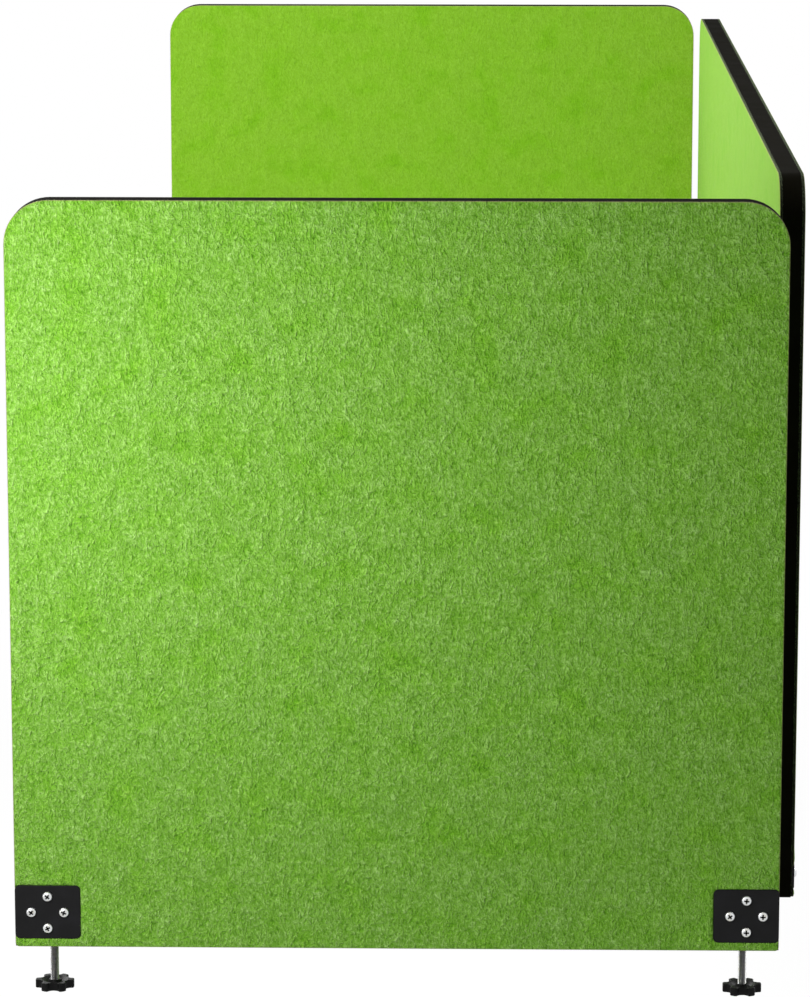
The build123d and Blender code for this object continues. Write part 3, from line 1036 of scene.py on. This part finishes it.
class PanHeadScrews(Repeater):
    """Cross-recessed pan-head screws, zinc plated, one on each seat.

    The tree rounds a drum into a pan head, cuts the tapered cross into it, adds the shank and
    sets the screw on every seat, each turned by its own angle.
    """

    title = "pan_head_screws"
    sizes = {
        "Head radius": 4.75 * MM,
        "Head height": 3.0 * MM,
        "Wall height": 0.7 * MM,
        "Shank radius": 2.5 * MM,
        "Shank length": 24.8 * MM,
        "Recess span": 5.2 * MM,
        "Recess width": 1.5 * MM,
        "Recess depth": 1.8 * MM,
    }
    choices = {"Facing": "Vector", "Seed": "Int"}
    head_parts = {"Vertices": 40, "Side Segments": 1, "Fill Segments": 8}
    shank_sides = 24
    span_taper = 0.4
    width_taper = 0.12
    # Depth under the crown where the painted shade of the recess starts, and the depth over which
    # it darkens fully.
    shade_from = 0.06 * MM
    shade_over = 0.2 * MM

    def on_seats(self) -> Output:
        """A screw on every seat, each at its own angle."""
        points, facing, seed = self.take("Geometry", *self.choices)
        screw = self.node("GeometryNodeJoinGeometry", {0: [self.shank(), self.head()]})
        aim = self.node("FunctionNodeAlignRotationToVector", {"Vector": facing}, axis="Z")
        angle = {3: math.tau, 8: seed}  # largest value and seed of the node's float mode
        turn = self.node("FunctionNodeRandomValue", angle, out=1, data_type="FLOAT")
        spin = self.node("FunctionNodeAxisAngleToRotation", {"Angle": turn})
        pose = self.node("FunctionNodeRotateRotation", {0: aim, 1: spin}, rotation_space="LOCAL")
        inputs = {"Points": points, "Instance": screw, "Rotation": pose}
        return self.node("GeometryNodeInstanceOnPoints", inputs)

    def crown(self) -> tuple[list[Output], Output]:
        """The point's coordinates and the height of the pan head's crown over it."""
        radius, height, wall = self.take("Head radius", "Head height", "Wall height")
        x, y, z = self.here()
        share = ((x * x + y * y).math("SQRT") / radius).math("MINIMUM", 1.0)
        fall = (1.0 - share**3.0) ** 0.5
        return [x, y, z], (height - wall) * fall + wall

    def head(self) -> Output:
        """The pan head with its cross cut in."""
        radius, height = self.take("Head radius", "Head height")
        inputs = {**self.head_parts, "Radius": radius, "Depth": height}
        drum = self.node("GeometryNodeMeshCylinder", inputs)
        (x, y, z), dome = self.crown()
        pan = self.moved(drum, x, y, (z > 0.0) * dome)
        cross = {0: pan, "Mesh 2": [self.recess_blade(quarter) for quarter in (0.0, math.pi / 2)]}
        cut = self.node("GeometryNodeMeshBoolean", cross, operation="DIFFERENCE")
        (*_, z), dome = self.crown()
        # Painted shade in the cross recess, darker the deeper a point lies under the crown.
        sunk = ((dome - z - self.shade_from) / self.shade_over).math("MAXIMUM", 0.0)
        return self.mark_hollow(cut, sunk.math("MINIMUM", 1.0) * (z > 0.1 * MM))

    def recess_blade(self, quarter: float) -> Output:
        """One arm of the cross: a blade that narrows from the crown down to its tip."""
        names = ("Recess span", "Recess width", "Recess depth", "Head height")
        span, width, depth, height = self.take(*names)
        blade = self.node("GeometryNodeMeshCube", {"Size": self.vector(span, width, depth * 2.0)})
        x, y, z = self.here()
        end = z.math("SIGN")
        long, wide = x * (end * self.span_taper + 1.0), y * (end * self.width_taper + 1.0)
        return self.lifted(self.moved(blade, long, wide, z), height, quarter)

    def shank(self) -> Output:
        """The plain shank below the head."""
        radius, length = self.take("Shank radius", "Shank length")
        inputs = {"Vertices": self.shank_sides, "Radius": radius, "Depth": length}
        return self.lifted(self.node("GeometryNodeMeshCylinder", inputs), length * -0.5)


class ThreadedSpindles(Repeater):
    """M8 spindles: a rolled thread of 1.25 mm pitch from the knob's hub to the riveted neck."""

    title = "threaded_spindles"
    sizes = {
        "Radius": 4.0 * MM,
        "Pitch": 1.25 * MM,
        "Thread depth": 0.68 * MM,
        "Length": 73.6 * MM,
        "End chamfer": 0.8 * MM,
        "Neck radius": 2.45 * MM,
        "Neck length": 4.8 * MM,
        "Rivet radius": 3.9 * MM,
        "Rivet height": 1.0 * MM,
    }
    sides = 28
    rows_a_turn = 7
    flank_rise = 1.25
    crest_round = 0.2
    root_shade = 0.6

    def on_seats(self) -> Output:
        """A spindle on every seat."""
        parts = [self.rivet(), self.neck(), self.thread()]
        spindle = self.node("GeometryNodeJoinGeometry", {0: parts})
        inputs = {"Points": self.given, "Instance": spindle}
        return self.node("GeometryNodeInstanceOnPoints", inputs)

    def rod(self, radius: Output, length: Output, foot: Any, rows: Any = 1) -> Output:
        """A closed rod that stands on the height foot."""
        inputs = {"Vertices": self.sides, "Side Segments": rows, "Radius": radius, "Depth": length}
        return self.lifted(self.node("GeometryNodeMeshCylinder", inputs), length * 0.5 + foot)

    def thread(self) -> Output:
        """The rod with a helical ridge, run out at both ends."""
        radius, pitch, depth = self.take("Radius", "Pitch", "Thread depth")
        length, chamfer = self.take("Length", "End chamfer")
        rows = (length / pitch * float(self.rows_a_turn)).math("ROUND")
        rod = self.rod(radius, length, 0.0, rows)
        x, y, z = self.here()
        lead = z / pitch - y.math("ARCTAN2", x) / math.tau
        flank = lead.math("PINGPONG", 0.5) * 2.0 * self.flank_rise
        hollow = 1.0 - flank.math("SMOOTH_MIN", 1.0, self.crest_round)
        chamfered = radius - chamfer + z.math("MINIMUM", length - z)
        wanted = (radius - depth * hollow).math("MINIMUM", chamfered)
        ratio = wanted / (x * x + y * y).math("SQRT").math("MAXIMUM", 1e-6)
        # Painted shade in the thread roots, by how deep each point lies.
        marked = self.mark_hollow(rod, hollow * self.root_shade)
        return self.moved(marked, x * ratio, y * ratio, z)

    def neck(self) -> Output:
        """The turned neck that the disc swivels on."""
        return self.rod(*self.take("Neck radius", "Neck length", "Length"))

    def rivet(self) -> Output:
        """The head that is riveted over inside the disc."""
        radius, height = self.take("Rivet radius", "Rivet height")
        length, neck = self.take("Length", "Neck length")
        return self.rod(radius, height, length + neck - height)


class MadePieces:
    """The felts, clamp screws and spindles of the whole set, in place of their CAD solids."""

    circle_radius = 15 * MM

    def __init__(self, finishes: Finishes, screens: Iterable[ScreenBuild]) -> None:
        """Draw the trees of the repeated hardware.

        Args:
            finishes: The finishes of the set.
            screens: The screens that are dressed.
        """
        self.finishes = finishes
        self.screens = tuple(screens)
        self.screws = PanHeadScrews(finishes.zinc)
        self.spindles = ThreadedSpindles(finishes.thread)

    def build(self) -> None:
        """Make the felts of each screen, then its screws and the spindle of each clamp."""
        for number, screen in enumerate(self.screens):
            for sheet in screen.felts(10 * number):
                self.lay_felt(sheet)
        for number, screen in enumerate(self.screens):
            seats, facing = self.screw_seats(screen), tuple(screen.outward)
            name = f"{screen.name}_pan_head_screws"
            piece = self.screws.make(name, seats, Facing=facing, Seed=3 + number)
            declare(piece, f"{screen.name}_clamp_screws", SCREENS_BODY)
            for clamp in screen.clamps:
                self.build_spindle(clamp)

    def lay_felt(self, sheet: FeltSheet) -> None:
        piece = new_piece(sheet.node + "_sheet", sheet.mesh())
        inner = sheet.node.endswith("inner_felt")
        piece.data.materials.append(self.finishes.inner_felt if inner else self.finishes.felt)
        declare(piece, sheet.node, SCREENS_BODY)
        sheet.extent[1:]

    def screw_seats(self, screen: ScreenBuild) -> list[Vector]:
        """Where each screw's head meets its plate."""
        along = UP.cross(screen.outward)
        seats = []
        for clamp in screen.clamps:
            low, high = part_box(f"{clamp}_clamp_plate")
            middle = (low + high) / 2
            face = max(low.dot(screen.outward), high.dot(screen.outward))
            middle += screen.outward * (face - middle.dot(screen.outward))
            for way in (along, UP)[: screen.screws_a_clamp // 2]:
                seats += [middle + way * self.circle_radius * side for side in (-1, 1)]
        return seats

    def build_spindle(self, clamp: str) -> None:
        """Make one clamp's threaded spindle."""
        low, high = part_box(f"{clamp}_spindle")
        foot = Vector(((low.x + high.x) / 2, (low.y + high.y) / 2, low.z))
        piece = self.spindles.make(f"{clamp}_threaded_spindle", [foot])
        declare(piece, f"{clamp}_spindle", f"{clamp}_screw")


def looking(place: Vector, direction: Vector) -> Matrix:
    """The matrix of a camera or lamp at a place that looks in a direction."""
    return Matrix.Translation(place) @ direction.to_track_quat("-Z", "Y").to_matrix().to_4x4()


@dataclass(frozen=True)
class Softbox:
    """A square studio lamp: where it stands, what it aims at, its side and its power."""

    name: str
    place: tuple[float, float, float]
    aim: tuple[float, float, float]
    side: float
    watts: float
    colour: str = "ffffff"

    def build(self) -> None:
        """Hang the lamp."""
        lamp = bpy.data.lights.new(self.name, "AREA")
        lamp.shape = "SQUARE"
        lamp.size = self.side
        lamp.energy = self.watts
        lamp.color = linear(self.colour)[:3]
        holder = bpy.data.objects.new(self.name, lamp)
        holder.matrix_world = looking(Vector(self.place), Vector(self.aim) - Vector(self.place))
        holder.visible_camera = False
        bpy.context.scene.collection.objects.link(holder)


class Studio:
    """A white sweep, a low pale floor, soft lamps and the camera of the picture."""

    floor_height = -0.72
    floor_side = 80.0
    shadow_reach = 1.6
    white_reach = 4.0
    floor_glow = 0.88
    ambient = 0.27
    lamps = (
        Softbox("key_left", (1.6, -0.58, 0.68), (1.0, 0.1, 0.42), 0.4, 9.0, "fffdf8"),
        Softbox("inner_front", (-0.35, -1.5, 1.2), (-0.6, 0.2, 0.45), 0.8, 21.5, "fffefb"),
        Softbox("overhead", (0.7, -0.1, 2.0), (-0.8, 0.1, 0.4), 0.8, 27.0, "fffefb"),
        Softbox("low_left", (1.5, -1.5, 0.15), (0.97, -0.2, 0.02), 0.4, 2.0),
        Softbox("rear_left", (-2.4, -1.6, 1.6), (-0.6, 0.0, 0.35), 1.6, 45.0),
        Softbox("rear_fill", (-1.6, 2.8, 1.8), (0.0, 0.3, 0.3), 2.0, 70.0),
    )
    camera_place = (4.9334, 0.07735, 1.2521)
    pitch = 0.1957
    yaw = -0.0214
    focal_px = 4435.0
    picture_height_px = 997
    sensor_mm = 36.0

    def build(self) -> None:
        """Set up floor, world, lamps and camera."""
        self.set_camera()
        self.set_world()
        self.lay_floor()
        for lamp in self.lamps:
            lamp.build()
        bpy.context.scene.view_settings.view_transform = "Standard"
        log.info("studio ready")

    def set_camera(self) -> None:
        """Stand the camera where the picture was taken from."""
        lens = bpy.data.cameras.new("picture_camera")
        lens.sensor_width = self.sensor_mm
        lens.lens = self.focal_px / self.picture_height_px * self.sensor_mm
        lens.clip_end = 60.0
        camera = bpy.data.objects.new("picture_camera", lens)
        level, fall = math.cos(self.pitch), math.sin(self.pitch)
        view = Vector((-math.cos(self.yaw) * level, math.sin(self.yaw) * level, -fall))
        camera.matrix_world = looking(Vector(self.camera_place), view)
        bpy.context.scene.collection.objects.link(camera)
        bpy.context.scene.camera = camera

    def seen_directly(self, tree: bpy.types.NodeTree) -> Output:
        """1 for rays that show the background: from the camera, in gloss or through glass."""
        path = add_node(tree, "ShaderNodeLightPath", out="Is Camera Ray")
        glossy, through = path.other("Is Glossy Ray"), path.other("Is Transmission Ray")
        return path.math("MAXIMUM", glossy).math("MAXIMUM", through)

    def set_world(self) -> None:
        """White where it is seen, a plain level of soft light elsewhere."""
        world = bpy.data.worlds.new("white_sweep")
        tree = emptied(world)
        inputs = {"Color": linear("f4f6fa"), "Strength": self.ambient}
        soft = add_node(tree, "ShaderNodeBackground", inputs)
        inputs = {"Color": linear("ffffff"), "Strength": 1.0}
        white = add_node(tree, "ShaderNodeBackground", inputs)
        inputs = {0: self.seen_directly(tree), 1: soft, 2: white}
        mixed = add_node(tree, "ShaderNodeMixShader", inputs)
        add_node(tree, "ShaderNodeOutputWorld", {"Surface": mixed})
        bpy.context.scene.world = world

    def lay_floor(self) -> None:
        """A pale matt floor, at the foot of the desk the set would clamp to, white far away."""
        half = self.floor_side / 2
        corners = [(-half, -half), (half, -half), (half, half), (-half, half)]
        mesh = bpy.data.meshes.new("studio_floor")
        mesh.from_pydata([(x, y, self.floor_height) for x, y in corners], [], [(0, 1, 2, 3)])
        floor = new_piece("studio_floor", mesh)
        paint = bpy.data.materials.new("pale_floor_paint")
        tree = emptied(paint)
        place = own_place(tree)
        shades = ramp(noise(place, 400.0, 2.0), ((0.3, "f1f1f1"), (0.7, "f6f6f6")))
        matt = add_node(tree, "ShaderNodeBsdfDiffuse", {"Color": shades})
        glow = add_node(tree, "ShaderNodeEmission", {"Color": linear("ffffff"), "Strength": 1.0})
        away = add_node(tree, "ShaderNodeVectorMath", {0: place}, "Value", operation="LENGTH")
        span = {0: away, 1: self.shadow_reach, 2: self.white_reach, 3: self.floor_glow, 4: 1.0}
        pale = add_node(tree, "ShaderNodeMapRange", span, interpolation_type="SMOOTHSTEP")
        inputs = {0: self.seen_directly(tree) * pale, 1: matt, 2: glow}
        mixed = add_node(tree, "ShaderNodeMixShader", inputs)
        add_node(tree, "ShaderNodeOutputMaterial", {"Surface": mixed})
        mesh.materials.append(paint)


SCREENS = (
    ScreenBuild("right", Vector((1.0, 0.0, 0.0)), ("right_front", "right_rear"), 4),
    ScreenBuild("left", Vector((-1.0, 0.0, 0.0)), ("left_front", "left_rear"), 4),
    ScreenBuild("back", Vector((0.0, 1.0, 0.0)), ("back_right", "back_left"), 2),
)


def main() -> None:
    """Build the studio, dress the frame and add the made pieces."""
    logging.basicConfig(level=logging.INFO, format="%(name)s: %(message)s")
    Studio().build()
    finishes = Finishes()
    finishes.dress(frame["nodes"])
    MadePieces(finishes, SCREENS).build()


if __name__ == "__main__":
    main()
